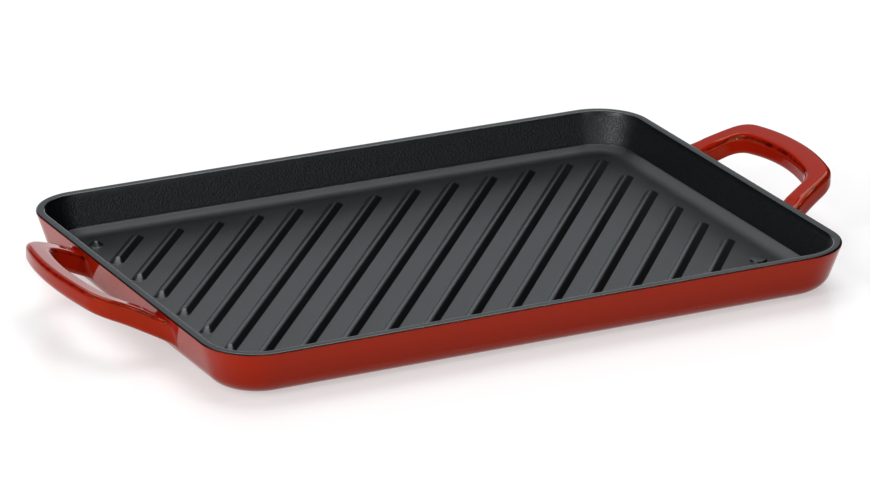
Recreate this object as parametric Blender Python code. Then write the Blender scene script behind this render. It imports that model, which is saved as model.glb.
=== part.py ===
"""Rectangular cast-iron grill plate with two loop handles and diagonal ribs.

Run with: blender --background --python part.py
Units are metres, +Z is up, +X runs along the plate from handle to handle.
The origin is on the surface that the plate stands on, under its middle.
"""
import math

import bmesh
import bpy
from mathutils import Vector

MM = 0.001

# Plate, measured over the rim
PLATE_LENGTH = 325.0 * MM
PLATE_WIDTH = 230.0 * MM
PLATE_HEIGHT = 22.8 * MM
RIM_WIDTH = 4.2 * MM
RIM_CORNER_RADIUS = 26.0 * MM
BASE_CORNER_RADIUS = 21.0 * MM
WALL_DRAFT = math.radians(17.3)
FLOOR_THICKNESS = 4.8 * MM
BASE_FILLET = 11.0 * MM
FLOOR_FILLET = 10.4 * MM
RIM_OUTER_ROUND = 0.8 * MM
RIM_INNER_ROUND = 1.1 * MM

# Red enamel coat on the outside, below a narrow dark band under the rim's outer round
ENAMEL_THICKNESS = 0.5 * MM
DARK_BAND_HEIGHT = 0.15 * MM

# Diagonal ribs
RIB_ANGLE = math.radians(49.6)
RIBS_TO_STUB = 10
RIBS_TO_BUTTON = 8
RIB_STUB_LENGTH = 7.1 * MM
RIB_BASE_WIDTH = 6.2 * MM
RIB_TOP_WIDTH = 2.4 * MM
RIB_HEIGHT = 2.1 * MM
RIB_TOP_ROUND = 1.6 * MM
RIB_END_MARGIN = 7.5 * MM

# Plain round button in the corner that has no rib
BUTTON_DIAMETER = 8.5 * MM
BUTTON_HEIGHT = 1.3 * MM
BUTTON_EDGE_ROUND = 0.6 * MM
BUTTON_END_MARGIN = 5.6 * MM
BUTTON_SIDE_MARGIN = 26.5 * MM

# Loop handles
HANDLE_REACH = 35.0 * MM
HANDLE_OUTER_BOW = 6.4 * MM
HANDLE_INNER_BOW = 5.0 * MM
HANDLE_GRIP_SPAN = 81.0 * MM
HANDLE_ROOT_SPAN = 105.5 * MM
HANDLE_ROOT_WIDTH = 13.8 * MM
HANDLE_BAR_WIDTH = 11.3 * MM
HANDLE_LEG_WIDTH = 7.6 * MM
HANDLE_GRIP_THICKNESS = 9.3 * MM
HANDLE_ROOT_THICKNESS = 11.2 * MM
HANDLE_EDGE_ROUND = 2.9 * MM
HANDLE_OUTER_CORNER = 6.5 * MM
HANDLE_INNER_CORNER = 7.0 * MM
HANDLE_ROOT_DROP = 3.8 * MM
HANDLE_RISE = 15.0 * MM
HANDLE_RISE_BOW = 6.1 * MM

# Running clearance between touching solids
FIT_GAP = 0.3 * MM

# Facets
CORNER_STEPS = 8
FILLET_STEPS = 6
SMALL_ROUND_STEPS = 3
RIB_END_STEPS = 6
RIB_TOP_STEPS = 4
BUTTON_SIDES = 24
HANDLE_LEG_STEPS = 4
HANDLE_CORNER_STEPS = 5
HANDLE_GRIP_STEPS = 5
HANDLE_EDGE_STEPS = 4

# Limits that keep a section from folding when a size changes
SMALLEST_ROUND = 0.2 * MM
LARGEST_SHARE_OF_ROOM = 0.9


def clear_scene():
    for item in list(bpy.data.objects):
        bpy.data.objects.remove(item, do_unlink=True)


def make_material(name, colour, roughness, metallic=0.0):
    material = bpy.data.materials.new(name)
    material.use_nodes = True
    shader = material.node_tree.nodes["Principled BSDF"]
    shader.inputs["Base Color"].default_value = (*colour, 1.0)
    shader.inputs["Roughness"].default_value = roughness
    shader.inputs["Metallic"].default_value = metallic
    material.diffuse_color = (*colour, 1.0)
    return material


def add_object(name, mesh, material, sharp_angle=math.radians(35)):
    mesh.shade_smooth()
    mesh.set_sharp_from_angle(angle=sharp_angle)
    item = bpy.data.objects.new(name, mesh)
    item.data.materials.append(material)
    bpy.context.scene.collection.objects.link(item)
    return item


def loft(name, rings):
    """Closed solid through rings of equal length, with a flat face over the first and the last."""
    shape = bmesh.new()
    rows = [[shape.verts.new(point) for point in ring] for ring in rings]
    count = len(rows[0])
    for lower, upper in zip(rows, rows[1:]):
        for i in range(count):
            j = (i + 1) % count
            shape.faces.new((lower[i], lower[j], upper[j], upper[i]))
    shape.faces.new(list(reversed(rows[0])))
    shape.faces.new(rows[-1])
    bmesh.ops.recalc_face_normals(shape, faces=shape.faces)
    mesh = bpy.data.meshes.new(name)
    shape.to_mesh(mesh)
    shape.free()
    return mesh


def arc_between(before, corner, after, radius, steps):
    """Points of the arc that rounds a corner of a path in the plane."""
    before, corner, after = Vector(before), Vector(corner), Vector(after)
    towards = (before - corner).normalized()
    away = (after - corner).normalized()
    half_angle = towards.angle(away) / 2.0
    reach = radius / math.tan(half_angle)
    centre = corner + (towards + away).normalized() * (radius / math.sin(half_angle))
    start = corner + towards * reach - centre
    turn = start.angle_signed(corner + away * reach - centre)
    points = []
    for step in range(steps + 1):
        angle = -turn * step / steps
        points.append(centre + Vector((
            start.x * math.cos(angle) - start.y * math.sin(angle),
            start.x * math.sin(angle) + start.y * math.cos(angle))))
    return points


def rounded_path(corners):
    """Path through (inset, height, radius, steps) corners. A corner of no radius stays sharp."""
    path = []
    for i, (inset, height, radius, steps) in enumerate(corners):
        if radius <= 0.0:
            path.append(Vector((inset, height)))
            continue
        path += arc_between(corners[i - 1][:2], (inset, height), corners[i + 1][:2], radius, steps)
    return path


def plate_outline(inset, height, corner_radius):
    """Rounded rectangle, inset from the rim's outer edge, anticlockwise from above."""
    half_length = PLATE_LENGTH / 2 - inset
    half_width = PLATE_WIDTH / 2 - inset
    radius = max(corner_radius, SMALLEST_ROUND)
    points = []
    for quarter in range(4):
        side_x = 1 if quarter in (0, 3) else -1
        side_y = 1 if quarter in (0, 1) else -1
        centre_x = side_x * (half_length - radius)
        centre_y = side_y * (half_width - radius)
        for step in range(CORNER_STEPS + 1):
            angle = math.pi / 2 * (quarter + step / CORNER_STEPS)
            points.append(Vector((
                centre_x + radius * math.cos(angle),
                centre_y + radius * math.sin(angle),
                height)))
    return points


# The drafted wall meets the rim's outer round, whose farthest point is the plate's real edge
WALL_LINE_START = RIM_OUTER_ROUND * (
    1.0 - math.cos(WALL_DRAFT) - (1.0 + math.sin(WALL_DRAFT)) * math.tan(WALL_DRAFT))


def wall_inset(height):
    """How far the outer face of the wall stands in from the plate's edge at a height."""
    return WALL_LINE_START + (PLATE_HEIGHT - height) * math.tan(WALL_DRAFT)


# The corner radius shrinks more slowly than the outline, from the rim down to the base
CORNER_TIGHTENING = (RIM_CORNER_RADIUS - BASE_CORNER_RADIUS) / wall_inset(0.0)


def outer_corner_radius(inset, depth):
    return RIM_CORNER_RADIUS - depth - CORNER_TIGHTENING * (inset - depth)


def inner_corner_radius(inset):
    return RIM_CORNER_RADIUS - RIM_WIDTH - CORNER_TIGHTENING * (inset - RIM_WIDTH)


def outer_face(depth, top):
    """Outer face from the base up to a height, moved into the wall by a depth."""
    slant = depth / math.cos(WALL_DRAFT)
    base_edge = wall_inset(depth) + slant
    fillet = max(BASE_FILLET - depth, SMALLEST_ROUND)
    flat = (base_edge + BASE_FILLET, depth, 0.0, 0)
    edge = (base_edge, depth, fillet, FILLET_STEPS)
    end = (wall_inset(top) + slant, top, 0.0, 0)
    return rounded_path((flat, edge, end))[1:]


def outer_rings(path, depth):
    return [plate_outline(inset, height, outer_corner_radius(inset, depth)) for inset, height in path]


RIM_ROUND_DROP = RIM_OUTER_ROUND * (1.0 + math.sin(WALL_DRAFT))
DARK_EDGE_BOTTOM = PLATE_HEIGHT - RIM_ROUND_DROP - DARK_BAND_HEIGHT
CASTING_DEPTH = ENAMEL_THICKNESS + FIT_GAP
FLOOR_WALL_INSET = RIM_WIDTH + (PLATE_HEIGHT - FLOOR_THICKNESS) * math.tan(WALL_DRAFT)
FLOOR_FLAT_INSET = FLOOR_WALL_INSET + FLOOR_FILLET * math.tan((math.pi / 2 - WALL_DRAFT) / 2)


def tray_casting(material):
    """Floor, walls and rim of the casting. Its rim stands out over the red coat."""
    rings = outer_rings(outer_face(CASTING_DEPTH, DARK_EDGE_BOTTOM), CASTING_DEPTH)
    rim = rounded_path((
        (wall_inset(DARK_EDGE_BOTTOM), DARK_EDGE_BOTTOM, 0.0, 0),
        (WALL_LINE_START, PLATE_HEIGHT, RIM_OUTER_ROUND, SMALL_ROUND_STEPS),
        (RIM_WIDTH / 2, PLATE_HEIGHT, 0.0, 0)))[:-1]
    rings += outer_rings(rim, 0.0)
    inside = rounded_path((
        (RIM_WIDTH / 2, PLATE_HEIGHT, 0.0, 0),
        (RIM_WIDTH, PLATE_HEIGHT, RIM_INNER_ROUND, SMALL_ROUND_STEPS),
        (FLOOR_WALL_INSET, FLOOR_THICKNESS, FLOOR_FILLET, FILLET_STEPS),
        (FLOOR_WALL_INSET + FLOOR_FILLET, FLOOR_THICKNESS, 0.0, 0)))[1:-1]
    rings += [plate_outline(inset, height, inner_corner_radius(inset)) for inset, height in inside]
    return add_object("tray_casting", loft("tray_casting", rings), material)


def exterior_enamel(material):
    """Red coat over the underside and the walls, up to the dark edge of the rim."""
    top = DARK_EDGE_BOTTOM - FIT_GAP
    inner = outer_rings(outer_face(ENAMEL_THICKNESS, top), ENAMEL_THICKNESS)
    outer = outer_rings(outer_face(0.0, top), 0.0)
    rings = outer + list(reversed(inner))
    return add_object("exterior_enamel", loft("exterior_enamel", rings), material)


def stadium(start, end, radius, height):
    """Outline round a straight line, with half circles at its ends."""
    along = end - start
    heading = RIB_ANGLE if along.length < SMALLEST_ROUND else math.atan2(along.y, along.x)
    points = []
    for centre, first in ((end, heading - math.pi / 2), (start, heading + math.pi / 2)):
        for step in range(RIB_END_STEPS + 1):
            angle = first + math.pi * step / RIB_END_STEPS
            points.append(Vector((
                centre.x + radius * math.cos(angle),
                centre.y + radius * math.sin(angle),
                height)))
    return points


def rib_lines():
    """Centre lines of the ribs. They spread from the plate's middle so that the first is a stub."""
    half_length = PLATE_LENGTH / 2 - FLOOR_FLAT_INSET - RIB_END_MARGIN
    half_width = PLATE_WIDTH / 2 - FLOOR_FLAT_INSET - RIB_END_MARGIN
    along = Vector((math.cos(RIB_ANGLE), math.sin(RIB_ANGLE)))
    across = Vector((math.sin(RIB_ANGLE), -math.cos(RIB_ANGLE)))
    corner_offset = half_length * along.y + half_width * along.x
    stub_offset = corner_offset - RIB_STUB_LENGTH * along.x * along.y
    pitch = stub_offset / RIBS_TO_STUB
    lines = []
    for number in range(-RIBS_TO_STUB, RIBS_TO_BUTTON + 1):
        middle = across * (number * pitch)
        lowest = max((-half_length - middle.x) / along.x, (-half_width - middle.y) / along.y)
        highest = min((half_length - middle.x) / along.x, (half_width - middle.y) / along.y)
        lines.append((
            middle + along * (lowest + RIB_BASE_WIDTH / 2),
            middle + along * (highest - RIB_BASE_WIDTH / 2)))
    return lines


def rib_sections():
    """Radius and height of the rib's outlines, from its foot to its rounded top."""
    foot = RIB_BASE_WIDTH / 2
    shoulder = min(RIB_TOP_WIDTH / 2, foot)
    flank_angle = math.atan2(RIB_HEIGHT - FIT_GAP, foot - shoulder)
    widest_round = LARGEST_SHARE_OF_ROOM * shoulder / math.tan(flank_angle / 2)
    return rounded_path((
        (foot, FIT_GAP, 0.0, 0),
        (shoulder, RIB_HEIGHT, min(RIB_TOP_ROUND, widest_round), RIB_TOP_STEPS),
        (0.0, RIB_HEIGHT, 0.0, 0)))[:-1]


def ribs(material):
    made = []
    for number, (start, end) in enumerate(rib_lines(), start=1):
        name = f"rib_{number:02d}"
        rings = [stadium(start, end, radius, FLOOR_THICKNESS + height) for radius, height in rib_sections()]
        made.append(add_object(name, loft(name, rings), material))
    return made


def button_place():
    return (
        PLATE_LENGTH / 2 - FLOOR_FLAT_INSET - BUTTON_END_MARGIN - BUTTON_DIAMETER / 2,
        -(PLATE_WIDTH / 2 - FLOOR_FLAT_INSET - BUTTON_SIDE_MARGIN - BUTTON_DIAMETER / 2))


def corner_button(material):
    """Low round button on the floor, where a maker would put a mark."""
    place_x, place_y = button_place()
    side = rounded_path((
        (BUTTON_DIAMETER / 2, FIT_GAP, 0.0, 0),
        (BUTTON_DIAMETER / 2, BUTTON_HEIGHT, BUTTON_EDGE_ROUND, SMALL_ROUND_STEPS),
        (0.0, BUTTON_HEIGHT, 0.0, 0)))[:-1]
    rings = []
    for radius, height in side:
        ring = []
        for step in range(BUTTON_SIDES):
            angle = 2 * math.pi * step / BUTTON_SIDES
            ring.append(Vector((
                place_x + radius * math.cos(angle),
                place_y + radius * math.sin(angle),
                FLOOR_THICKNESS + height)))
        rings.append(ring)
    return add_object("corner_button", loft("corner_button", rings), material)


HANDLE_ROOT_TOP = PLATE_HEIGHT - HANDLE_ROOT_DROP
HANDLE_ROOT_X = PLATE_LENGTH / 2 - wall_inset(HANDLE_ROOT_TOP - HANDLE_ROOT_THICKNESS / 2)
HANDLE_TIP_X = PLATE_LENGTH / 2 + HANDLE_REACH


def handle_share(x):
    return (x - HANDLE_ROOT_X) / (HANDLE_TIP_X - HANDLE_ROOT_X)


def handle_top(x):
    """Height of the handle's top face: it climbs from the wall and levels out at the grip."""
    share = handle_share(x)
    return HANDLE_ROOT_TOP + HANDLE_RISE * share + HANDLE_RISE_BOW * share * (1.0 - share)


def handle_thickness(x):
    return HANDLE_ROOT_THICKNESS + (HANDLE_GRIP_THICKNESS - HANDLE_ROOT_THICKNESS) * handle_share(x)


def bowed_side(root, corner, tip_x, corner_round):
    """Half of a handle outline in plan: straight leg, round corner, arc to the middle of the grip."""
    bow = tip_x - corner.x
    arc_radius = (corner.y ** 2 + bow ** 2) / (2 * bow)
    centre_x = tip_x - arc_radius
    corner_angle = math.atan2(corner.y, corner.x - centre_x)

    def on_arc(angle):
        return Vector((centre_x + arc_radius * math.cos(angle), arc_radius * math.sin(angle)))

    leg = root - corner
    round_start = corner + leg.normalized() * corner_round
    round_end_angle = corner_angle - corner_round / arc_radius
    round_end = on_arc(round_end_angle)
    points = [root.lerp(round_start, step / HANDLE_LEG_STEPS) for step in range(HANDLE_LEG_STEPS)]
    for step in range(HANDLE_CORNER_STEPS):
        share = step / HANDLE_CORNER_STEPS
        points.append(round_start.lerp(corner, share).lerp(corner.lerp(round_end, share), share))
    for step in range(HANDLE_GRIP_STEPS + 1):
        points.append(on_arc(round_end_angle * (1.0 - step / HANDLE_GRIP_STEPS)))
    return points


def handle_outlines():
    """Outer and inner outline of half a handle, point for point, for the handle at +X."""
    outer_corner = Vector((HANDLE_TIP_X - HANDLE_OUTER_BOW, HANDLE_GRIP_SPAN / 2))
    inner_tip_x = HANDLE_TIP_X - HANDLE_BAR_WIDTH
    inner_corner = Vector((inner_tip_x - HANDLE_INNER_BOW, HANDLE_GRIP_SPAN / 2 - HANDLE_LEG_WIDTH))
    outer_root = Vector((HANDLE_ROOT_X, HANDLE_ROOT_SPAN / 2))
    inner_root = Vector((HANDLE_ROOT_X, HANDLE_ROOT_SPAN / 2 - HANDLE_ROOT_WIDTH))
    outer = bowed_side(outer_root, outer_corner, HANDLE_TIP_X, HANDLE_OUTER_CORNER)
    inner = bowed_side(inner_root, inner_corner, inner_tip_x, HANDLE_INNER_CORNER)
    return outer, inner


def handle_ring(outer, inner):
    """Rounded section of the bar between two points of its outlines."""
    across = outer - inner
    width = across.length
    middle = (outer + inner) / 2
    ring = []
    for quarter in range(4):
        side = 1 if quarter in (0, 3) else -1
        level = 1 if quarter in (0, 1) else -1
        for step in range(HANDLE_EDGE_STEPS + 1):
            angle = math.pi / 2 * (quarter + step / HANDLE_EDGE_STEPS)
            offset = side * (width / 2 - HANDLE_EDGE_ROUND) + HANDLE_EDGE_ROUND * math.cos(angle)
            place = middle + across.normalized() * offset
            half_thickness = handle_thickness(place.x) / 2
            lift = level * (half_thickness - HANDLE_EDGE_ROUND) + HANDLE_EDGE_ROUND * math.sin(angle)
            ring.append(Vector((place.x, place.y, handle_top(place.x) - half_thickness + lift)))
    return ring


def seat_on_wall(ring):
    """The root ring lies on the drafted wall, one fit gap off it."""
    gap = FIT_GAP / math.cos(WALL_DRAFT)
    return [Vector((PLATE_LENGTH / 2 - wall_inset(point.z) + gap, point.y, point.z)) for point in ring]


def handle(name, side, material):
    outer, inner = handle_outlines()
    half = [handle_ring(a, b) for a, b in zip(outer, inner)]
    half[0] = seat_on_wall(half[0])
    far_half = [[Vector((point.x, -point.y, point.z)) for point in ring] for ring in half[:-1]]
    rings = half + list(reversed(far_half))
    rings = [[Vector((side * point.x, point.y, point.z)) for point in ring] for ring in rings]
    return add_object(name, loft(name, rings), material)


def build():
    clear_scene()
    dark_enamel = make_material("dark_enamel", (0.055, 0.058, 0.062), 0.45)
    red_enamel = make_material("red_enamel", (0.38, 0.025, 0.012), 0.12)
    tray_casting(dark_enamel)
    exterior_enamel(red_enamel)
    ribs(dark_enamel)
    corner_button(dark_enamel)
    handle("handle_right", 1, red_enamel)
    handle("handle_left", -1, red_enamel)


build()
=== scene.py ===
import math

import bpy
import numpy as np
from mathutils import Matrix, Vector


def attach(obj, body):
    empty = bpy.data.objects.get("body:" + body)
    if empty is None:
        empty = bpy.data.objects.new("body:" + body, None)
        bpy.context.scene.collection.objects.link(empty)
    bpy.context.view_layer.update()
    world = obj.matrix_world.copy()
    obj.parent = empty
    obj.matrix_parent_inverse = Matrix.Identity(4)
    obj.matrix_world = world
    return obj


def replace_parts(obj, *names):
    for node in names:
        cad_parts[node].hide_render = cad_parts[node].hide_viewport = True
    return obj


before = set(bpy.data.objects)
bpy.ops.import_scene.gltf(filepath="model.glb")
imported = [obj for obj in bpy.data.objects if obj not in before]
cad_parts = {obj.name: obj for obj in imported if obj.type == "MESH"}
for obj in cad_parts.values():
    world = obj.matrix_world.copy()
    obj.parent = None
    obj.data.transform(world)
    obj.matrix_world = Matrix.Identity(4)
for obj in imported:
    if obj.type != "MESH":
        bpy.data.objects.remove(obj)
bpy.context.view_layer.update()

MM = 0.001

# Camera, fitted to the photograph. Its target is in metres, and the nudge moves it up and to the left.
CAMERA_AZIMUTH = math.radians(-27.385)
CAMERA_ELEVATION = math.radians(20.507)
CAMERA_ROLL = math.radians(0.573)
CAMERA_DISTANCE = 2.4843
CAMERA_TARGET = (-0.01346, -0.02509, 0.0228)
CAMERA_FOCUS_PX = 5384.7
FRAME_WIDTH_PX = 870
SENSOR_WIDTH = 36.0
PIXEL_NUDGE = 0.23 * MM

# Studio: a table that glows a little, and softboxes on a dome. Azimuth runs from +Y towards +X.
STUDIO_REACH = 3.5
FLOOR_REACH = 6.0
TABLE_COLOUR = (0.50, 0.50, 0.50)
TABLE_ROUGHNESS = 0.22
TABLE_GLOW = 0.44
NEUTRAL = (1.0, 1.0, 1.0)
COOL = (0.95, 1.0, 1.04)
WARM = (1.03, 1.0, 1.0)

# Name, azimuth from and to, elevation from and to (degrees), radiance, colour
SOFTBOXES = (
    ("back_strip", -7, 39, 0, 14, 1.30, COOL),
    ("backdrop", -7, 37, 14, 27, 0.50, COOL),
    ("backdrop_high", -7, 37, 27, 42, 0.68, COOL),
    ("overhead_back", -10, 65, 42, 84, 4.4, NEUTRAL),
    ("overhead_front", 100, 210, 60, 84, 1.27, NEUTRAL),
    ("front_right", 156, 184, 8, 40, 1.8, NEUTRAL),
    ("front_strip", 156, 260, 0, 8, 0.43, NEUTRAL),
    ("front_low", 184, 260, 8, 20, 3.05, NEUTRAL),
    ("key_left", 210, 260, 20, 40, 2.7, WARM),
    ("left_high", 237, 315, 40, 60, 2.1, WARM),
    ("left_wing", 260, 282, 0, 40, 1.24, NEUTRAL),
    ("left_far", 282, 315, 0, 20, 0.46, NEUTRAL),
    ("spark_left", 251, 257, 27, 33, 50.0, NEUTRAL),
    ("spark_right", 122, 128, 55, 61, 30.0, NEUTRAL))

# Plate, of the same sizes as the solids
PLATE_LENGTH = 325.0 * MM
PLATE_WIDTH = 230.0 * MM
PLATE_HEIGHT = 22.8 * MM
RIM_WIDTH = 4.2 * MM
RIM_CORNER_RADIUS = 26.0 * MM
BASE_CORNER_RADIUS = 21.0 * MM
WALL_DRAFT = math.radians(17.3)
FLOOR_THICKNESS = 4.8 * MM
BASE_FILLET = 11.0 * MM
FLOOR_FILLET = 10.4 * MM
RIM_OUTER_ROUND = 0.8 * MM
RIM_INNER_ROUND = 1.1 * MM

# Hidden fits: the skin inside the solids' outline, the casting inside the coat, and the feet of
# the ribs and the button below the floor
SKIN_INSET = 0.06 * MM
CASTING_GAP = 0.05 * MM
FORM_SINK = 0.3 * MM

# The floor sweeps up softly to a crease in the wall
CREASE_HEIGHT = 2.4 * MM
CREASE_ROUND = 0.9 * MM
SWEEP_SLOPE = math.radians(20.5)
SWEEP_FOOT_ROUND = 16.0 * MM
SWEEP_MARGIN = 4.0 * MM

# Red coat, with a slightly wavy lip at the rim. The dark edge begins above it.
COAT_THICKNESS = 0.5 * MM
COAT_LIP_ANGLE = math.radians(20)
COAT_LIP_ROUND = 0.16 * MM
COAT_LIP_WAVE = 0.035 * MM
COAT_LIP_TURNS = (23, 41, 67, 89)
COAT_LIP_SEED = 5
DARK_EDGE_ANGLE = math.radians(38)
DARK_EDGE_SINK = 0.3 * MM
THIN_GLAZE_DEPTH = 0.45 * MM

# Diagonal ribs, counted from the middle of the plate to the stub and to the corner with the button
RIB_ANGLE = math.radians(49.6)
RIBS_TO_STUB = 10
RIBS_TO_BUTTON = 8
RIB_STUB_LENGTH = 7.1 * MM
RIB_BASE_WIDTH = 6.7 * MM
RIB_TOP_WIDTH = 1.7 * MM
RIB_SHIFT = 0.25 * MM
RIB_HEIGHT = 2.1 * MM
RIB_TOP_ROUND = 2.0 * MM
RIB_FOOT_ROUND = 0.45 * MM
RIB_END_MARGIN = 7.5 * MM
RIB_END_TAPER = 2.2 * MM
RIB_TAPER_SHARE = 0.45

# Low button in the corner that has no rib
BUTTON_DIAMETER = 8.5 * MM
BUTTON_HEIGHT = 1.3 * MM
BUTTON_ROUND = 0.55 * MM
BUTTON_SLANT = 0.4 * MM
BUTTON_FOOT_ROUND = 0.4 * MM
BUTTON_END_MARGIN = 5.6 * MM
BUTTON_SIDE_MARGIN = 26.5 * MM

# Loop handles
HANDLE_REACH = 35.0 * MM
HANDLE_OUTER_BOW = 6.4 * MM
HANDLE_INNER_BOW = 5.0 * MM
HANDLE_GRIP_SPAN = 81.0 * MM
HANDLE_ROOT_SPAN = 105.5 * MM
HANDLE_ROOT_WIDTH = 13.8 * MM
HANDLE_BAR_WIDTH = 11.3 * MM
HANDLE_LEG_WIDTH = 7.6 * MM
HANDLE_GRIP_THICKNESS = 9.3 * MM
HANDLE_ROOT_THICKNESS = 11.2 * MM
HANDLE_EDGE_ROUND = 2.9 * MM
HANDLE_OUTER_CORNER = 6.5 * MM
HANDLE_INNER_CORNER = 7.0 * MM
HANDLE_ROOT_DROP = 3.8 * MM
HANDLE_RISE = 15.0 * MM
HANDLE_RISE_BOW = 6.1 * MM
HANDLE_FLARE_START = 6.0 * MM
HANDLE_FLARE_OUTSIDE = 4.5 * MM
HANDLE_FLARE_INSIDE = 2.5 * MM
HANDLE_FLARE_TOP = 1.8 * MM
HANDLE_FLARE_BOTTOM = 1.2 * MM
HANDLE_SINK = 0.03 * MM

# Thin glaze on the handles: a dark line on the inner top edge, between two angles above the
# horizontal, and a paler dark band of painted shade on the rounded outer top edge
HANDLE_LINE_THIN = 0.6
HANDLE_LINE_FROM = math.radians(25)
HANDLE_LINE_TO = math.radians(61)
HANDLE_BAND_PAINTED_SHADE = 0.55

# Dark enamel: satin, glossier on the rim. Noise scales are per metre.
DARK = (0.0027, 0.0031, 0.0034)
DARK_TINT = (0.93, 1.0, 1.03)
DARK_ROUGHNESS = 0.30
DARK_SPECULAR = 0.36
RIM_ROUGHNESS = 0.16
RIM_SPECULAR = 0.46
SWELL_SCALE = 28.0
SWELL_ROUGHNESS = 0.02

# Pebbles of the walls: they fade in above the floor and out below the rim
PEBBLE_SCALE = 1150.0
PEBBLE_RAGGED = 0.55
PEBBLE_DEPTH = 0.34 * MM
PEBBLE_LEAST = 0.04
PEBBLES_FROM = 6.8 * MM
PEBBLES_FULL = 8.2 * MM
PEBBLES_FADE = 20.2 * MM
PEBBLES_TO = 22.0 * MM

# Red enamel: glossy, dark where it is thin, with painted shade on the handles' outer top edge, and a
# little darker towards the base, which is painted shade
RED = (0.250, 0.0082, 0.0022)
RED_TINT = (1.0, 0.90, 0.45)
RED_ROUGHNESS = 0.05
RED_INDEX = 1.25
# Dark red of thin glaze, also used for painted shade on the handles' outer top edge
THIN_AND_SHADED_RED = (0.022, 0.0010, 0.0006)
THIN_AND_SHADE_FROM = 0.30
THIN_AND_SHADE_FULL = 0.85
THIN_AND_SHADE_MOST = 0.95
WAVER_SCALE = 260.0
WAVER = 0.35
RUNS_SCALE = 45.0
RUNS_STRENGTH = 0.25
RUNS_DEPTH = 0.20 * MM
# Painted shade: the red is darkened towards the base of the walls
BASE_PAINTED_SHADE = 0.78
BASE_PAINTED_SHADE_FROM = 2.0 * MM
BASE_PAINTED_SHADE_TO = 17.0 * MM

# Range that most of a noise's values lie in
NOISE_LOW = 0.3
NOISE_HIGH = 0.7

# Fineness of the meshes. An edge that bends by more than the angle stays sharp.
SHARP_ANGLE = math.radians(50)
CORNER_STEPS = 16
LONG_SIDE_STEPS = 90
SHORT_SIDE_STEPS = 60
FILLET_STEPS = 14
ROUND_STEPS = 6
RIB_END_STEPS = 14
BUTTON_SIDES = 48
HANDLE_LEG_STEPS = 22
HANDLE_CORNER_STEPS = 12
HANDLE_GRIP_STEPS = 26
HANDLE_EDGE_STEPS = 7
HANDLE_FACE_STEPS = 6
HANDLE_FLARE_STEPS = 9


def add_piece(name, vertices, faces, material, thin_glaze_and_shade=None):
    """Piece of the plate's one body, with how thin the glaze is at each vertex where that is given,
    and on the handles the painted shade of the outer top edge.
    """
    mesh = bpy.data.meshes.new(name)
    mesh.from_pydata([tuple(float(value) for value in vertex) for vertex in vertices], [], faces)
    mesh.validate()
    mesh.update()
    mesh.shade_smooth()
    mesh.set_sharp_from_angle(angle=SHARP_ANGLE)
    mesh.materials.append(material)
    if thin_glaze_and_shade is not None:
        mesh.attributes.new("thin_glaze_and_shade", "FLOAT", "POINT").data.foreach_set("value", thin_glaze_and_shade)
    piece = bpy.data.objects.new(name, mesh)
    bpy.context.scene.collection.objects.link(piece)
    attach(piece, "root")
    return piece


def loft_faces(ring_count, points):
    """Faces between rings of as many points each, and the caps of the first and last ring."""
    faces = []
    for ring in range(ring_count - 1):
        for point in range(points):
            following = (point + 1) % points
            faces.append((
                ring * points + point,
                ring * points + following,
                (ring + 1) * points + following,
                (ring + 1) * points + point))
    faces.append(tuple(reversed(range(points))))
    faces.append(tuple(range((ring_count - 1) * points, ring_count * points)))
    return faces


def loft_piece(name, rings, material, thin_glaze_and_shade=None):
    """Closed piece through rings of equal length. Its normals point out of it."""
    rings = [np.asarray(ring, float) for ring in rings]
    vertices = np.concatenate(rings)
    faces = loft_faces(len(rings), len(rings[0]))
    if signed_volume(vertices, faces) < 0.0:
        faces = [tuple(reversed(face)) for face in faces]
    values = None if thin_glaze_and_shade is None else np.concatenate(thin_glaze_and_shade)
    return add_piece(name, vertices, faces, material, values)


def signed_volume(vertices, faces):
    total = 0.0
    for face in faces:
        first = vertices[face[0]]
        for second, third in zip(face[1:], face[2:]):
            total += np.dot(first, np.cross(vertices[second], vertices[third]))
    return total / 6.0


def rounded_path(corners):
    """Path in the plane past (x, y, radius, steps) corners. A corner of no radius stays sharp."""
    path = []
    for index, (x, y, radius, steps) in enumerate(corners):
        corner = np.array((x, y))
        if radius <= 0.0:
            path.append(corner)
            continue
        towards = np.array(corners[index - 1][:2]) - corner
        away = np.array(corners[index + 1][:2]) - corner
        towards /= np.linalg.norm(towards)
        away /= np.linalg.norm(away)
        half_angle = math.acos(float(np.clip(np.dot(towards, away), -1.0, 1.0))) / 2.0
        bisector = (towards + away) / np.linalg.norm(towards + away)
        centre = corner + bisector * (radius / math.sin(half_angle))
        start = corner + towards * (radius / math.tan(half_angle)) - centre
        end = corner + away * (radius / math.tan(half_angle)) - centre
        turn = math.atan2(start[0] * end[1] - start[1] * end[0], float(np.dot(start, end)))
        for step in range(steps + 1):
            angle = turn * step / steps
            path.append(centre + np.array((
                start[0] * math.cos(angle) - start[1] * math.sin(angle),
                start[0] * math.sin(angle) + start[1] * math.cos(angle))))
    return path


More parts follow.
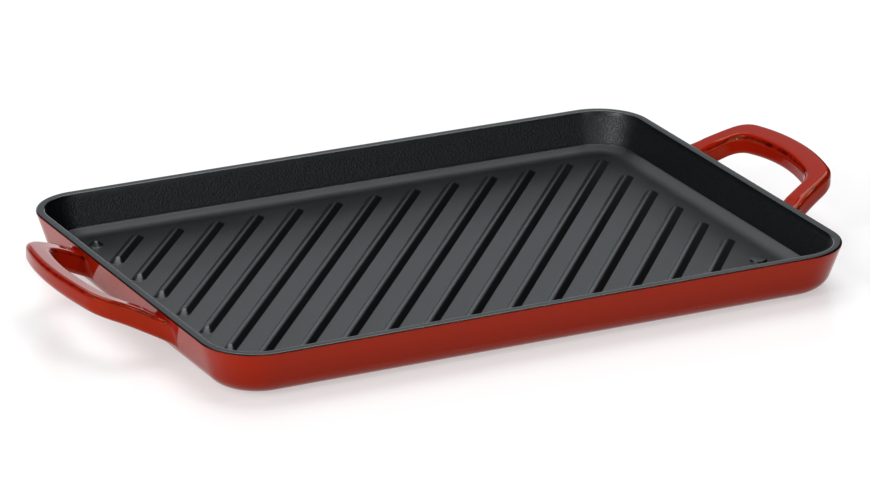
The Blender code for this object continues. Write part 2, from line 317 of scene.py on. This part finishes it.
def plate_ring(inset, height, corner_radius):
    """Rounded rectangle inset from the rim's outer edge, with points along its straight sides."""
    half_length = PLATE_LENGTH / 2 - SKIN_INSET - inset
    half_width = PLATE_WIDTH / 2 - SKIN_INSET - inset
    corners = []
    for quarter in range(4):
        side_x = 1 if quarter in (0, 3) else -1
        side_y = 1 if quarter in (0, 1) else -1
        centre = np.array((
            side_x * (half_length - corner_radius),
            side_y * (half_width - corner_radius)))
        arc = []
        for step in range(CORNER_STEPS + 1):
            angle = math.pi / 2 * (quarter + step / CORNER_STEPS)
            arc.append(centre + corner_radius * np.array((math.cos(angle), math.sin(angle))))
        corners.append(arc)
    points = []
    for quarter, arc in enumerate(corners):
        points += arc
        following = corners[(quarter + 1) % 4][0]
        steps = LONG_SIDE_STEPS if quarter % 2 == 0 else SHORT_SIDE_STEPS
        for step in range(1, steps):
            points.append(arc[-1] + (following - arc[-1]) * step / steps)
    return np.array([(point[0], point[1], height) for point in points])


# The outer wall is a straight line, tangent to the rim's outer round
WALL_LINE_START = RIM_OUTER_ROUND * (
    1.0 - math.cos(WALL_DRAFT) - (1.0 + math.sin(WALL_DRAFT)) * math.tan(WALL_DRAFT))


def wall_inset(height):
    return WALL_LINE_START + (PLATE_HEIGHT - height) * math.tan(WALL_DRAFT)


CORNER_TIGHTENING = (RIM_CORNER_RADIUS - BASE_CORNER_RADIUS) / wall_inset(0.0)
WALL_TOP = PLATE_HEIGHT - RIM_OUTER_ROUND * (1.0 + math.sin(WALL_DRAFT))
FLOOR_WALL_INSET = RIM_WIDTH + (PLATE_HEIGHT - FLOOR_THICKNESS) * math.tan(WALL_DRAFT)
FLOOR_FLAT_INSET = FLOOR_WALL_INSET + FLOOR_FILLET * math.tan((math.pi / 2 - WALL_DRAFT) / 2)


def outer_corner_radius(inset, depth=0.0):
    return RIM_CORNER_RADIUS - depth - CORNER_TIGHTENING * (inset - depth)


def inner_corner_radius(inset):
    return RIM_CORNER_RADIUS - RIM_WIDTH - CORNER_TIGHTENING * (inset - RIM_WIDTH)


def on_outer_round(angle, sink=0.0):
    """Inset and height of a point on the rim's outer round, at an angle above the horizontal."""
    radius = RIM_OUTER_ROUND - sink
    return np.array((
        RIM_OUTER_ROUND - radius * math.cos(angle),
        PLATE_HEIGHT - RIM_OUTER_ROUND + radius * math.sin(angle)))


def outer_rings(path, depth=0.0):
    return [plate_ring(inset, height, outer_corner_radius(inset, depth)) for inset, height in path]


def outer_face(depth, top):
    """Inset and height along the outer face, from the base up to a height."""
    slant = depth / math.cos(WALL_DRAFT)
    base_edge = wall_inset(depth) + slant
    return rounded_path((
        (base_edge + BASE_FILLET, depth, 0.0, 0),
        (base_edge, depth, BASE_FILLET - depth, FILLET_STEPS),
        (wall_inset(top) + slant, top, 0.0, 0)))[1:]


def inner_face():
    """Inset and height from the rim's top down the inner wall to a crease, and down the sweep to
    the flat of the floor."""
    crease = FLOOR_WALL_INSET - CREASE_HEIGHT * math.tan(WALL_DRAFT)
    foot = crease + CREASE_HEIGHT / math.tan(SWEEP_SLOPE)
    return rounded_path((
        (RIM_WIDTH / 2, PLATE_HEIGHT, 0.0, 0),
        (RIM_WIDTH, PLATE_HEIGHT, RIM_INNER_ROUND, ROUND_STEPS),
        (crease, FLOOR_THICKNESS + CREASE_HEIGHT, CREASE_ROUND, ROUND_STEPS),
        (foot, FLOOR_THICKNESS, SWEEP_FOOT_ROUND, ROUND_STEPS),
        (foot + SWEEP_MARGIN, FLOOR_THICKNESS, 0.0, 0)))[1:]


def socket(node, name):
    return node.inputs[name]


def new_material(name, colour, roughness, specular=0.5):
    material = bpy.data.materials.new(name)
    material.use_nodes = True
    shader = material.node_tree.nodes["Principled BSDF"]
    socket(shader, "Base Color").default_value = (*colour, 1.0)
    socket(shader, "Roughness").default_value = roughness
    socket(shader, "Specular IOR Level").default_value = specular
    material.diffuse_color = (*colour, 1.0)
    return material, material.node_tree, shader


def noise(tree, scale, detail, coordinates, ragged=0.5):
    node = tree.nodes.new("ShaderNodeTexNoise")
    socket(node, "Scale").default_value = scale
    socket(node, "Detail").default_value = detail
    socket(node, "Roughness").default_value = ragged
    tree.links.new(coordinates, socket(node, "Vector"))
    return node.outputs["Fac"]


def object_coordinates(tree):
    return tree.nodes.new("ShaderNodeTexCoord").outputs["Object"]


def spread(tree, value, low, high, from_low=NOISE_LOW, from_high=NOISE_HIGH):
    """Value moved from one range to another and kept within it."""
    node = tree.nodes.new("ShaderNodeMapRange")
    socket(node, "From Min").default_value = from_low
    socket(node, "From Max").default_value = from_high
    socket(node, "To Min").default_value = low
    socket(node, "To Max").default_value = high
    tree.links.new(value, socket(node, "Value"))
    return node.outputs["Result"]


def bump(tree, height, strength, distance):
    node = tree.nodes.new("ShaderNodeBump")
    socket(node, "Strength").default_value = strength
    socket(node, "Distance").default_value = distance
    tree.links.new(height, socket(node, "Height"))
    return node.outputs["Normal"]


def height_of(tree, coordinates):
    node = tree.nodes.new("ShaderNodeSeparateXYZ")
    tree.links.new(coordinates, socket(node, "Vector"))
    return node.outputs["Z"]


def combine(tree, operation, first, second):
    """Sum or product of two values, each of which is a number or a node's output."""
    node = tree.nodes.new("ShaderNodeMath")
    node.operation = operation
    for index, value in enumerate((first, second)):
        if isinstance(value, float):
            node.inputs[index].default_value = value
        else:
            tree.links.new(value, node.inputs[index])
    return node.outputs["Value"]


def mix_colours(tree, share, first, second):
    node = tree.nodes.new("ShaderNodeMix")
    node.data_type = "RGBA"
    tree.links.new(share, node.inputs["Factor"])
    node.inputs["A"].default_value = (*first, 1.0)
    node.inputs["B"].default_value = (*second, 1.0)
    return node.outputs["Result"]


def scaled_colour(tree, colour, scale):
    node = tree.nodes.new("ShaderNodeVectorMath")
    node.operation = "SCALE"
    tree.links.new(colour, node.inputs["Vector"])
    tree.links.new(scale, node.inputs["Scale"])
    return node.outputs["Vector"]


def dark_enamel_material():
    """Satin black enamel. The walls keep the pebbles of the mould, the floor and rim are smooth."""
    material, tree, shader = new_material("dressed_dark_enamel", DARK, DARK_ROUGHNESS, DARK_SPECULAR)
    socket(shader, "Specular Tint").default_value = (*DARK_TINT, 1.0)
    place = object_coordinates(tree)
    height = height_of(tree, place)
    above_floor = spread(tree, height, 0.0, 1.0, PEBBLES_FROM, PEBBLES_FULL)
    below_rim = spread(tree, height, 1.0, 0.0, PEBBLES_FADE, PEBBLES_TO)
    walls = combine(tree, "MULTIPLY", above_floor, below_rim)
    pebbles = noise(tree, PEBBLE_SCALE, 2.0, place, PEBBLE_RAGGED)
    on_walls = combine(tree, "MULTIPLY", walls, 1.0 - PEBBLE_LEAST)
    rough_share = combine(tree, "ADD", on_walls, PEBBLE_LEAST)
    pebble_height = combine(tree, "MULTIPLY", pebbles, rough_share)
    swell = spread(tree, noise(tree, SWELL_SCALE, 1.0, place), -SWELL_ROUGHNESS, SWELL_ROUGHNESS)
    satin = spread(tree, height, DARK_ROUGHNESS, RIM_ROUGHNESS, PEBBLES_TO, PLATE_HEIGHT)
    tree.links.new(combine(tree, "ADD", satin, swell), socket(shader, "Roughness"))
    gloss = spread(tree, height, DARK_SPECULAR, RIM_SPECULAR, PEBBLES_TO, PLATE_HEIGHT)
    tree.links.new(gloss, socket(shader, "Specular IOR Level"))
    tree.links.new(bump(tree, pebble_height, 1.0, PEBBLE_DEPTH), socket(shader, "Normal"))
    return material


def red_enamel_material():
    """Glossy red enamel, dark where the glaze thins out on an edge, with painted shade on the handles'
    outer top edge, and a little darker at the base as painted shade.
    """
    material, tree, shader = new_material("dressed_red_enamel", RED, RED_ROUGHNESS)
    socket(shader, "IOR").default_value = RED_INDEX
    socket(shader, "Specular Tint").default_value = (*RED_TINT, 1.0)
    place = object_coordinates(tree)
    thin_and_shade = tree.nodes.new("ShaderNodeAttribute")
    thin_and_shade.attribute_name = "thin_glaze_and_shade"
    waver = spread(tree, noise(tree, WAVER_SCALE, 2.0, place), -WAVER, WAVER)
    edge = combine(tree, "MULTIPLY", thin_and_shade.outputs["Fac"], combine(tree, "ADD", waver, 1.0))
    share = spread(tree, edge, 0.0, THIN_AND_SHADE_MOST, THIN_AND_SHADE_FROM, THIN_AND_SHADE_FULL)
    # Painted shade that darkens the red towards the base
    painted_shade = spread(tree, height_of(tree, place), BASE_PAINTED_SHADE, 1.0, BASE_PAINTED_SHADE_FROM, BASE_PAINTED_SHADE_TO)
    colour = scaled_colour(tree, mix_colours(tree, share, RED, THIN_AND_SHADED_RED), painted_shade)
    tree.links.new(colour, socket(shader, "Base Color"))
    runs = noise(tree, RUNS_SCALE, 1.0, place)
    tree.links.new(bump(tree, runs, RUNS_STRENGTH, RUNS_DEPTH), socket(shader, "Normal"))
    return material


def floor_material():
    """Pale table with a soft gloss and a faint glow, so that its shadows stay light."""
    material, _, shader = new_material("pale_floor", TABLE_COLOUR, TABLE_ROUGHNESS)
    socket(shader, "Emission Color").default_value = (1.0, 1.0, 1.0, 1.0)
    socket(shader, "Emission Strength").default_value = TABLE_GLOW
    return material


def build_casting(material):
    """Floor, walls and rim in dark enamel."""
    depth = COAT_THICKNESS + CASTING_GAP
    rings = outer_rings(outer_face(depth, WALL_TOP), depth)
    rim = [
        on_outer_round(COAT_LIP_ANGLE, DARK_EDGE_SINK + depth),
        on_outer_round(DARK_EDGE_ANGLE, DARK_EDGE_SINK)]
    for angle in np.linspace(DARK_EDGE_ANGLE, math.pi / 2, ROUND_STEPS + 1):
        rim.append(on_outer_round(angle))
    rings += outer_rings(rim)
    rings += [plate_ring(inset, height, inner_corner_radius(inset)) for inset, height in inner_face()]
    return loft_piece("dressed_casting", rings, material)


def lip_wave(count):
    """Small slow waviness round a closed ring, as of enamel that ran before it was fired."""
    rng = np.random.default_rng(COAT_LIP_SEED)
    steps = np.arange(count) / count * 2 * math.pi
    wave = np.zeros(count)
    for turns in COAT_LIP_TURNS:
        wave += rng.uniform(0.5, 1.0) * np.sin(turns * steps + rng.uniform(0, 2 * math.pi))
    return wave * COAT_LIP_WAVE


def build_coat(material):
    """Red enamel over the underside and the walls, up to the dark edge of the rim."""
    outer = outer_face(0.0, WALL_TOP)
    angles = np.linspace(-WALL_DRAFT, COAT_LIP_ANGLE, 2 * ROUND_STEPS + 1)
    shoulder = [on_outer_round(angle) for angle in angles[1:]]
    turns = np.linspace(0.0, math.pi / 2, ROUND_STEPS + 1)[1:]
    lip = [on_outer_round(
        COAT_LIP_ANGLE + COAT_LIP_ROUND / RIM_OUTER_ROUND * math.sin(turn),
        COAT_LIP_ROUND * (1.0 - math.cos(turn))) for turn in turns]
    lip.append(on_outer_round(COAT_LIP_ANGLE, COAT_THICKNESS))
    rings = outer_rings(outer + shoulder + lip)
    wave = lip_wave(len(rings[0]))
    for ring in rings[len(outer) + len(shoulder):]:
        ring[:, 2] += wave
    rings += outer_rings(reversed(outer_face(COAT_THICKNESS, WALL_TOP)), COAT_THICKNESS)
    thin_from = on_outer_round(COAT_LIP_ANGLE)[1] - THIN_GLAZE_DEPTH
    thin_glaze_and_shade = [np.clip((ring[:, 2] - thin_from) / THIN_GLAZE_DEPTH, 0.0, 1.0) for ring in rings]
    return loft_piece("dressed_coat", rings, material, thin_glaze_and_shade)


def stadium(start, end, radius, height):
    """Outline round a straight line, with half circles at its ends."""
    heading = math.atan2(end[1] - start[1], end[0] - start[0])
    points = []
    for centre, first in ((end, heading - math.pi / 2), (start, heading + math.pi / 2)):
        for step in range(RIB_END_STEPS + 1):
            angle = first + math.pi * step / RIB_END_STEPS
            points.append((
                centre[0] + radius * math.cos(angle),
                centre[1] + radius * math.sin(angle),
                height))
    return np.array(points)


def rib_lines():
    """Ends of each rib's middle line, from the stub in the far left corner to the near right."""
    half_length = PLATE_LENGTH / 2 - FLOOR_FLAT_INSET - RIB_END_MARGIN
    half_width = PLATE_WIDTH / 2 - FLOOR_FLAT_INSET - RIB_END_MARGIN
    along = np.array((math.cos(RIB_ANGLE), math.sin(RIB_ANGLE)))
    across = np.array((math.sin(RIB_ANGLE), -math.cos(RIB_ANGLE)))
    corner_offset = half_length * along[1] + half_width * along[0]
    pitch = (corner_offset - RIB_STUB_LENGTH * along[0] * along[1]) / RIBS_TO_STUB
    lines = []
    for number in range(-RIBS_TO_STUB, RIBS_TO_BUTTON + 1):
        middle = across * (number * pitch + RIB_SHIFT)
        lowest = max((-half_length - middle[0]) / along[0], (-half_width - middle[1]) / along[1])
        highest = min((half_length - middle[0]) / along[0], (half_width - middle[1]) / along[1])
        lines.append((
            middle + along * (lowest + RIB_BASE_WIDTH / 2),
            middle + along * (highest - RIB_BASE_WIDTH / 2)))
    return lines


def foot_and_top(foot, shoulder, height, foot_round, top_round):
    """Half section of a raised form, as radii and heights above the floor. It starts a little below
    the floor, leaves it in a hollow round and has a rounded top."""
    path = rounded_path((
        (foot + 3 * foot_round, 0.0, 0.0, 0),
        (foot, 0.0, foot_round, ROUND_STEPS),
        (shoulder, height, top_round, ROUND_STEPS),
        (0.0, height, 0.0, 0)))[1:-1]
    return [(path[0][0], -FORM_SINK)] + path


def build_ribs(material):
    section = foot_and_top(
        RIB_BASE_WIDTH / 2, RIB_TOP_WIDTH / 2, RIB_HEIGHT, RIB_FOOT_ROUND, RIB_TOP_ROUND)
    for number, (start, end) in enumerate(rib_lines(), start=1):
        length = np.linalg.norm(end - start)
        along = (end - start) / length * min(RIB_END_TAPER, RIB_TAPER_SHARE * length)
        rings = []
        for radius, height in section:
            taper = along * max(height / RIB_HEIGHT, 0.0) ** 2
            rings.append(stadium(start + taper, end - taper, radius, FLOOR_THICKNESS + height))
        rib = loft_piece(f"dressed_rib_{number:02d}", rings, material)
        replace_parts(rib, f"rib_{number:02d}")


def build_button(material):
    place_x = PLATE_LENGTH / 2 - FLOOR_FLAT_INSET - BUTTON_END_MARGIN - BUTTON_DIAMETER / 2
    place_y = -(PLATE_WIDTH / 2 - FLOOR_FLAT_INSET - BUTTON_SIDE_MARGIN - BUTTON_DIAMETER / 2)
    foot = BUTTON_DIAMETER / 2
    section = foot_and_top(foot, foot - BUTTON_SLANT, BUTTON_HEIGHT, BUTTON_FOOT_ROUND, BUTTON_ROUND)
    angles = np.arange(BUTTON_SIDES) / BUTTON_SIDES * 2 * math.pi
    rings = []
    for radius, height in section:
        rings.append(np.stack([
            place_x + radius * np.cos(angles),
            place_y + radius * np.sin(angles),
            np.full(BUTTON_SIDES, FLOOR_THICKNESS + height)], 1))
    return loft_piece("dressed_button", rings, material)


HANDLE_ROOT_TOP = PLATE_HEIGHT - HANDLE_ROOT_DROP - SKIN_INSET
HANDLE_ROOT_X = PLATE_LENGTH / 2 - wall_inset(HANDLE_ROOT_TOP - HANDLE_ROOT_THICKNESS / 2)
HANDLE_TIP_X = PLATE_LENGTH / 2 + HANDLE_REACH - SKIN_INSET


def handle_share(x):
    """How far out along the handle a place is, from 0 at the root to 1 at the tip."""
    return (x - HANDLE_ROOT_X) / (HANDLE_TIP_X - HANDLE_ROOT_X)


def handle_top(x):
    share = handle_share(x)
    return HANDLE_ROOT_TOP + HANDLE_RISE * share + HANDLE_RISE_BOW * share * (1.0 - share)


def handle_thickness(x):
    return HANDLE_ROOT_THICKNESS + (HANDLE_GRIP_THICKNESS - HANDLE_ROOT_THICKNESS) * handle_share(x)


def bend(start, corner, end, share):
    """Point of a smooth bend that leaves the start and reaches the end in line with the corner."""
    return start * (1 - share) ** 2 + corner * 2 * share * (1 - share) + end * share ** 2


def bowed_side(root, corner, tip_x, corner_round):
    """Half of a handle outline in plan: straight leg, round corner, arc to the middle of the grip."""
    bow = tip_x - corner[0]
    arc_radius = (corner[1] ** 2 + bow ** 2) / (2 * bow)
    centre_x = tip_x - arc_radius
    corner_angle = math.atan2(corner[1], corner[0] - centre_x)

    def on_arc(angle):
        return np.array((centre_x + arc_radius * math.cos(angle), arc_radius * math.sin(angle)))

    leg = root - corner
    round_start = corner + leg / np.linalg.norm(leg) * corner_round
    round_end_angle = corner_angle - corner_round / arc_radius
    round_end = on_arc(round_end_angle)
    points = []
    for step in range(HANDLE_LEG_STEPS):
        points.append(root + (round_start - root) * step / HANDLE_LEG_STEPS)
    for step in range(HANDLE_CORNER_STEPS):
        points.append(bend(round_start, corner, round_end, step / HANDLE_CORNER_STEPS))
    for step in range(HANDLE_GRIP_STEPS + 1):
        points.append(on_arc(round_end_angle * (1.0 - step / HANDLE_GRIP_STEPS)))
    return points


def section_corners():
    """Side, level and direction of each point on the four rounded edges of a section."""
    corners = []
    for quarter in range(4):
        side = 1 if quarter in (0, 3) else -1
        level = 1 if quarter in (0, 1) else -1
        for step in range(HANDLE_EDGE_STEPS + 1):
            angle = math.pi / 2 * (quarter + step / HANDLE_EDGE_STEPS)
            corners.append((side, level, math.cos(angle), math.sin(angle)))
    return corners


def section_thin_glaze_and_shade():
    """How thin the glaze is at each point of a section, and the painted shade on its outer top edge.
    """
    values = []
    for index, (side, level, cosine, sine) in enumerate(section_corners()):
        thin_and_shade = 0.0
        if level > 0 and side > 0:
            # Painted shade on the rounded outer top edge
            thin_and_shade = HANDLE_BAND_PAINTED_SHADE * 2.0 * sine * cosine
        elif level > 0 and math.sin(HANDLE_LINE_FROM) < sine < math.sin(HANDLE_LINE_TO):
            thin_and_shade = HANDLE_LINE_THIN
        values.append(thin_and_shade)
        if (index + 1) % (HANDLE_EDGE_STEPS + 1) == 0:
            values += [0.0] * (HANDLE_FACE_STEPS - 1)
    return np.array(values)


def handle_section(outer, inner):
    """Rounded section of the bar between two points of its outlines."""
    across = outer - inner
    width = np.linalg.norm(across)
    across = across / width
    middle = (outer + inner) / 2
    places = []
    for side, level, cosine, sine in section_corners():
        offset = side * (width / 2 - HANDLE_EDGE_ROUND) + HANDLE_EDGE_ROUND * cosine
        place = middle + across * offset
        half_thickness = handle_thickness(place[0]) / 2
        lift = level * (half_thickness - HANDLE_EDGE_ROUND) + HANDLE_EDGE_ROUND * sine
        places.append(np.array((place[0], place[1], handle_top(place[0]) - half_thickness + lift)))
    dense = []
    for index, place in enumerate(places):
        dense.append(place)
        following = places[(index + 1) % len(places)]
        if (index + 1) % (HANDLE_EDGE_STEPS + 1) == 0:
            for step in range(1, HANDLE_FACE_STEPS):
                dense.append(place + (following - place) * step / HANDLE_FACE_STEPS)
    return np.array(dense)


WALL_PROFILE = np.array(list(reversed(outer_face(0.0, WALL_TOP))))
WALL_PROFILE_STEPS = np.linalg.norm(np.diff(WALL_PROFILE, axis=0), axis=1)
WALL_PROFILE_RUN = np.concatenate([[0.0], np.cumsum(WALL_PROFILE_STEPS)])


def on_wall(run, y):
    """Point of the end wall at a distance down its profile from the rim's outer round."""
    inset = np.interp(run, WALL_PROFILE_RUN, WALL_PROFILE[:, 0])
    height = np.interp(run, WALL_PROFILE_RUN, WALL_PROFILE[:, 1])
    return np.array((PLATE_LENGTH / 2 - SKIN_INSET - HANDLE_SINK - inset, y, height))


def run_at_height(height):
    return float(np.interp(height, WALL_PROFILE[::-1, 1], WALL_PROFILE_RUN[::-1]))


def flare_rings(sections):
    """Rings that widen from the leg on to the wall, tangent to both."""
    first = next(index for index, ring in enumerate(sections)
                 if ring[:, 0].min() > HANDLE_ROOT_X + HANDLE_FLARE_START)
    leg_ring = sections[first]
    root_ring = sections[0]
    runs = np.array([run_at_height(point[2]) for point in root_ring])
    flat = np.stack([runs, root_ring[:, 1]], 1)
    tangent = np.roll(flat, -1, axis=0) - np.roll(flat, 1, axis=0)
    normal = np.stack([tangent[:, 1], -tangent[:, 0]], 1)
    normal /= np.linalg.norm(normal, axis=1)[:, None]
    if np.sum(normal * (flat - flat.mean(axis=0))) < 0.0:
        normal = -normal
    down, outward = np.clip(normal, -1.0, 1.0).T
    reach = np.sqrt(
        (np.where(down > 0.0, HANDLE_FLARE_BOTTOM, HANDLE_FLARE_TOP) * down) ** 2
        + (np.where(outward > 0.0, HANDLE_FLARE_OUTSIDE, HANDLE_FLARE_INSIDE) * outward) ** 2)
    flared = flat + normal * reach[:, None]
    ends = np.array([on_wall(run, y) for run, y in flared])
    corners = np.array([on_wall(run, y) for run, y in flat])
    rings = []
    for step in range(HANDLE_FLARE_STEPS):
        rings.append(bend(ends, corners, leg_ring, step / HANDLE_FLARE_STEPS))
    return rings + sections[first:]


def build_handle(name, side, material, node):
    """Loop handle on the right end wall (side 1) or the left one (side -1)."""
    outer_corner = np.array((HANDLE_TIP_X - HANDLE_OUTER_BOW, HANDLE_GRIP_SPAN / 2))
    inner_tip_x = HANDLE_TIP_X - HANDLE_BAR_WIDTH
    inner_corner = np.array((inner_tip_x - HANDLE_INNER_BOW, HANDLE_GRIP_SPAN / 2 - HANDLE_LEG_WIDTH))
    outer_root = np.array((HANDLE_ROOT_X, HANDLE_ROOT_SPAN / 2))
    inner_root = np.array((HANDLE_ROOT_X, HANDLE_ROOT_SPAN / 2 - HANDLE_ROOT_WIDTH))
    outer = bowed_side(outer_root, outer_corner, HANDLE_TIP_X, HANDLE_OUTER_CORNER)
    inner = bowed_side(inner_root, inner_corner, inner_tip_x, HANDLE_INNER_CORNER)
    half = flare_rings([handle_section(a, b) for a, b in zip(outer, inner)])
    mirrored = [ring * np.array((1.0, -1.0, 1.0)) for ring in half[:-1]]
    rings = half + list(reversed(mirrored))
    rings = [ring * np.array((side, 1.0, 1.0)) for ring in rings]
    thin_glaze_and_shade = [section_thin_glaze_and_shade() for _ in rings]
    piece = loft_piece(name, rings, material, thin_glaze_and_shade)
    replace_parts(piece, node)


def add_softbox(name, azimuths, elevations, radiance, colour):
    """Soft panel on a dome about the plate that covers a range of azimuths and elevations."""
    azimuth = math.radians(sum(azimuths) / 2)
    elevation = math.radians(sum(elevations) / 2)
    half_turn = math.radians((azimuths[1] - azimuths[0]) / 2)
    half_tilt = math.radians((elevations[1] - elevations[0]) / 2)
    light = bpy.data.lights.new(name, "AREA")
    light.shape = "RECTANGLE"
    light.size = 2 * STUDIO_REACH * math.tan(half_turn) * math.cos(elevation)
    light.size_y = 2 * STUDIO_REACH * math.tan(half_tilt)
    light.energy = math.pi * light.size * light.size_y * radiance
    light.color = colour
    item = bpy.data.objects.new(name, light)
    item.location = Vector((
        math.cos(elevation) * math.sin(azimuth),
        math.cos(elevation) * math.cos(azimuth),
        math.sin(elevation))) * STUDIO_REACH
    item.rotation_euler = (-item.location).to_track_quat("-Z", "Y").to_euler()
    bpy.context.scene.collection.objects.link(item)


def build_studio():
    """Black world, the table and the softboxes."""
    world = bpy.data.worlds.new("studio")
    bpy.context.scene.world = world
    world.use_nodes = True
    background = world.node_tree.nodes["Background"]
    background.inputs["Strength"].default_value = 0.0
    floor = bpy.data.meshes.new("floor")
    floor.from_pydata(
        [(x * FLOOR_REACH, y * FLOOR_REACH, 0.0) for x, y in ((-1, -1), (1, -1), (1, 1), (-1, 1))],
        [], [(0, 1, 2, 3)])
    floor.materials.append(floor_material())
    item = bpy.data.objects.new("floor", floor)
    bpy.context.scene.collection.objects.link(item)
    for name, left, right, low, high, radiance, colour in SOFTBOXES:
        add_softbox(name, (left, right), (low, high), radiance, colour)


def build_camera():
    """Camera of the photograph, with its fitted place, roll and length of focus."""
    azimuth, elevation, roll = CAMERA_AZIMUTH, CAMERA_ELEVATION, CAMERA_ROLL
    back = Vector((
        math.sin(azimuth) * math.cos(elevation),
        -math.cos(azimuth) * math.cos(elevation),
        math.sin(elevation)))
    right = (-back).cross(Vector((0, 0, 1))).normalized()
    up = right.cross(-back)
    right, up = (
        right * math.cos(roll) + up * math.sin(roll),
        up * math.cos(roll) - right * math.sin(roll))
    target = Vector(CAMERA_TARGET) + (up - right) * PIXEL_NUDGE
    lens = bpy.data.cameras.new("camera")
    lens.sensor_width = SENSOR_WIDTH
    lens.lens = CAMERA_FOCUS_PX / FRAME_WIDTH_PX * SENSOR_WIDTH
    camera = bpy.data.objects.new("camera", lens)
    place = Matrix((right, up, back)).transposed().to_4x4()
    place.translation = target + back * CAMERA_DISTANCE
    camera.matrix_world = place
    bpy.context.scene.collection.objects.link(camera)
    bpy.context.scene.camera = camera


bpy.context.scene.view_settings.view_transform = "Standard"
dark = dark_enamel_material()
red = red_enamel_material()
build_camera()
build_studio()
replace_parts(build_casting(dark), "tray_casting")
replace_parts(build_coat(red), "exterior_enamel")
build_ribs(dark)
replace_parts(build_button(dark), "corner_button")
build_handle("dressed_handle_right", 1, red, "handle_right")
build_handle("dressed_handle_left", -1, red, "handle_left")
